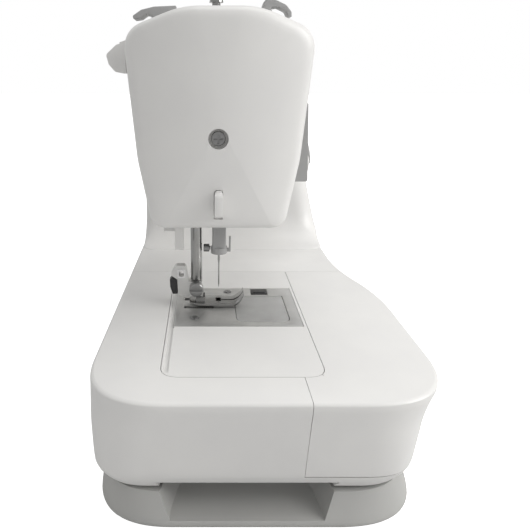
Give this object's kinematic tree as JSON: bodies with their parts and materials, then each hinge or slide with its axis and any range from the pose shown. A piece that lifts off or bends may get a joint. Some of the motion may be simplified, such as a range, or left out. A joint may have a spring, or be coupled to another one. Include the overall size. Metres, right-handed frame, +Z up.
{
  "type": "sewing machine",
  "caption": "White free-arm home sewing machine with a slide-off accessory table, arched arm, operating panel, handwheel, folding handle and a clip-on presser foot over the bobbin area.",
  "frame": {"origin": "on the surface that the machine stands on, under the middle of its bounding box", "axes": "+X towards the operator's right, from the needle to the handwheel; +Y away from the operator; +Z up"},
  "size_m": [0.4202, 0.2028, 0.2904],
  "materials": {
    "white_plastic": "moulded satin white",
    "base_plastic": "moulded light grey, fine texture",
    "grey_plastic": "moulded mid grey, satin",
    "black_plastic": "moulded black, satin",
    "plate_steel": "satin ground",
    "machined_steel": "machined",
    "chrome": "polished",
    "cast_alloy": "as cast",
    "clear_plastic": "clear moulded plastic",
    "rubber": "matt",
    "board": "laminate",
    "screen": "dark display window"
  },
  "bodies": {
    "machine": {"base_tray": "base_plastic", "rubber_foot_1": "rubber", "rubber_foot_2": "rubber", "rubber_foot_3": "rubber", "rubber_foot_4": "rubber", "front_casing": "white_plastic", "rear_casing": "white_plastic", "face_cover": "white_plastic", "face_cover_screw": "machined_steel", "thread_cutter": "white_plastic", "free_arm_cover": "white_plastic", "needle_plate": "plate_steel", "plate_screw_1": "machined_steel", "plate_screw_2": "machined_steel", "inner_frame": "cast_alloy", "motor": "cast_alloy", "timing_belt": "rubber", "circuit_board": "board", "display_window": "screen", "control_panel": "grey_plastic", "rear_thread_guide": "grey_plastic", "front_thread_guide": "grey_plastic", "winding_thread_guide": "chrome", "bobbin_case": "black_plastic", "power_socket": "black_plastic", "spool_pin": "white_plastic"},
    "upper_drive": {"upper_shaft": "machined_steel", "handwheel": "white_plastic", "upper_pulley": "machined_steel"},
    "lower_drive": {"lower_shaft": "machined_steel", "lower_pulley": "machined_steel"},
    "motor_rotor": {"motor_pulley": "machined_steel"},
    "hook": {"rotary_hook": "machined_steel"},
    "bobbin": {"bobbin": "clear_plastic"},
    "needle_unit": {"needle_bar": "chrome", "needle_clamp": "grey_plastic", "needle_clamp_screw": "machined_steel", "needle": "chrome"},
    "presser_unit": {"presser_bar": "chrome", "foot_holder": "plate_steel", "foot_holder_screw": "machined_steel"},
    "foot_release": {"foot_release_lever": "black_plastic"},
    "foot": {"presser_foot": "chrome"},
    "lifter": {"presser_lifter": "white_plastic"},
    "buttonhole": {"buttonhole_lever": "white_plastic"},
    "take_up": {"take_up_lever": "chrome"},
    "table": {"table_body": "white_plastic"},
    "lid": {"accessory_lid": "white_plastic"},
    "handle": {"carrying_handle": "white_plastic"},
    "cover": {"bobbin_cover": "clear_plastic"},
    "latch": {"cover_latch": "black_plastic"},
    "feed": {"feed_dog": "plate_steel"},
    "start_stop": {"start_stop_button": "white_plastic"},
    "reverse": {"reverse_button": "white_plastic"},
    "speed": {"speed_slider": "white_plastic"},
    "stitch": {"stitch_dial": "grey_plastic"},
    "tension": {"tension_dial": "grey_plastic"},
    "power": {"power_switch": "black_plastic"},
    "winder": {"winder_spindle": "black_plastic"}
  },
  "joints": [
    {"name": "main_drive", "type": "hinge", "parent": "machine", "child": "upper_drive", "pos_m": [0.0697, 0.0218, 0.232], "axis": [1, 0, 0], "continuous": true},
    {"name": "lower_drive_turn", "type": "hinge", "parent": "machine", "child": "lower_drive", "pos_m": [0.0197, 0.0138, 0.051], "axis": [1, 0, 0], "continuous": true},
    {"name": "motor_turn", "type": "hinge", "parent": "machine", "child": "motor_rotor", "pos_m": [0.1297, -0.0262, 0.128], "axis": [1, 0, 0], "continuous": true},
    {"name": "hook_turn", "type": "hinge", "parent": "machine", "child": "hook", "pos_m": [-0.0863, -0.0032, 0.06], "axis": [0, 0, 1], "continuous": true},
    {"name": "bobbin_spin", "type": "hinge", "parent": "machine", "child": "bobbin", "pos_m": [-0.0863, -0.0032, 0.073], "axis": [0, 0, 1], "continuous": true},
    {"name": "needle_bar_stroke", "type": "slide", "parent": "machine", "child": "needle_unit", "axis": [0, 0, -1], "range_m": [0, 0.028]},
    {"name": "presser_bar_lift", "type": "slide", "parent": "machine", "child": "presser_unit", "axis": [0, 0, 1], "range_m": [0, 0.007]},
    {"name": "foot_release_press", "type": "hinge", "parent": "presser_unit", "child": "foot_release", "pos_m": [-0.0803, 0.0533, 0.104], "axis": [1, 0, 0], "range_deg": [0, 8], "stiffness_Nm_per_rad": 0.02},
    {"name": "foot_tilt", "type": "hinge", "parent": "presser_unit", "child": "foot", "pos_m": [-0.0803, 0.035, 0.0904], "axis": [1, 0, 0], "range_deg": [-8, 0]},
    {"name": "presser_lifter_turn", "type": "hinge", "parent": "machine", "child": "lifter", "pos_m": [-0.0683, 0.0518, 0.16], "axis": [0, -1, 0], "range_deg": [0, 70]},
    {"name": "buttonhole_lever_drop", "type": "slide", "parent": "machine", "child": "buttonhole", "axis": [0, 0, -1], "range_m": [0, 0.038]},
    {"name": "take_up_swing", "type": "hinge", "parent": "machine", "child": "take_up", "pos_m": [-0.0653, 0.0018, 0.232], "axis": [1, 0, 0], "range_deg": [0, 48]},
    {"name": "table_slide", "type": "slide", "parent": "machine", "child": "table", "axis": [-1, 0, 0], "range_m": [0, 0.18]},
    {"name": "accessory_lid_open", "type": "hinge", "parent": "table", "child": "lid", "pos_m": [-0.1003, -0.0892, 0.035], "axis": [1, 0, 0], "range_deg": [0, 75]},
    {"name": "handle_raise", "type": "hinge", "parent": "machine", "child": "handle", "pos_m": [0.0397, 0.0558, 0.268], "axis": [1, 0, 0], "range_deg": [0, 98]},
    {"name": "bobbin_cover_lift", "type": "hinge", "parent": "machine", "child": "cover", "pos_m": [-0.0903, 0.0096, 0.0845], "axis": [-1, 0, 0], "range_deg": [0, 28]},
    {"name": "cover_latch_slide", "type": "slide", "parent": "machine", "child": "latch", "axis": [1, 0, 0], "range_m": [0, 0.002], "stiffness_N_per_m": 150},
    {"name": "feed_dog_travel", "type": "slide", "parent": "machine", "child": "feed", "axis": [0, 1, 0], "range_m": [-0.0012, 0.0012]},
    {"name": "start_stop_press", "type": "slide", "parent": "machine", "child": "start_stop", "axis": [0, 1, 0], "range_m": [0, 0.0015], "stiffness_N_per_m": 300},
    {"name": "reverse_press", "type": "slide", "parent": "machine", "child": "reverse", "axis": [0, 1, 0], "range_m": [0, 0.0015], "stiffness_N_per_m": 300},
    {"name": "speed_slide", "type": "slide", "parent": "machine", "child": "speed", "axis": [1, 0, 0], "range_m": [-0.0055, 0.0075]},
    {"name": "stitch_dial_turn", "type": "hinge", "parent": "machine", "child": "stitch", "pos_m": [0.1317, -0.06603, 0.168], "axis": [0, -0.9728, 0.2315], "continuous": true},
    {"name": "tension_dial_turn", "type": "hinge", "parent": "machine", "child": "tension", "pos_m": [-0.0003, 0.0038, 0.282], "axis": [0, 0, 1], "range_deg": [-150, 150]},
    {"name": "power_switch_rock", "type": "hinge", "parent": "machine", "child": "power", "pos_m": [0.1817, -0.0202, 0.104], "axis": [0, -1, 0], "range_deg": [0, 14]},
    {"name": "winder_shift", "type": "slide", "parent": "machine", "child": "winder", "axis": [1, 0, 0], "range_m": [0, 0.006]}
  ],
  "couplings": [
    {"joint": "lower_drive_turn", "follows": "main_drive", "ratio": 1},
    {"joint": "motor_turn", "follows": "main_drive", "ratio": 2.125},
    {"joint": "hook_turn", "follows": "main_drive", "ratio": -2},
    {"joint": "presser_lifter_turn", "follows": "presser_bar_lift", "rad_per_m": 174}
  ]
}
